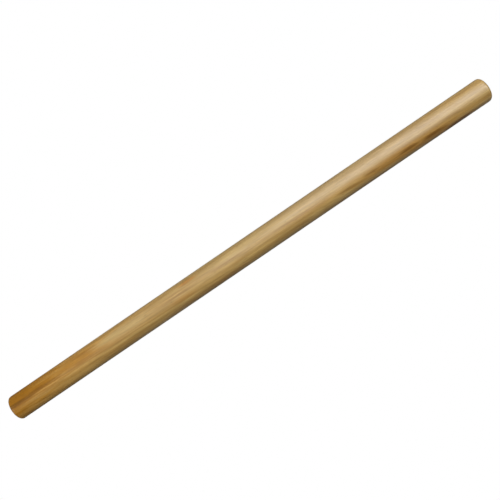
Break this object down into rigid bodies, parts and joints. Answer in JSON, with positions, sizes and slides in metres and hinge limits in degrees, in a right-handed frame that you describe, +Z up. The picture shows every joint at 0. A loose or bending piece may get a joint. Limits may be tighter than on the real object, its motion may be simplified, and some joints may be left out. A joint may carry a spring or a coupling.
{
  "type": "devil stick",
  "caption": "Straight round wooden juggling stick with flat ends and rounded rims, in a clear satin finish.",
  "frame": {"origin": "the stick's balance point: the middle of its length, on its axis", "axes": "+X along the stick's axis, +Y across it, +Z up with the stick lying on its side"},
  "size_m": [0.6, 0.0274, 0.0274],
  "materials": {
    "lacquered_hardwood": "light honey-coloured hardwood, straight grained, sanded smooth, with a thin clear satin lacquer"
  },
  "bodies": {
    "root": {"stick": "lacquered_hardwood"}
  },
  "joints": []
}
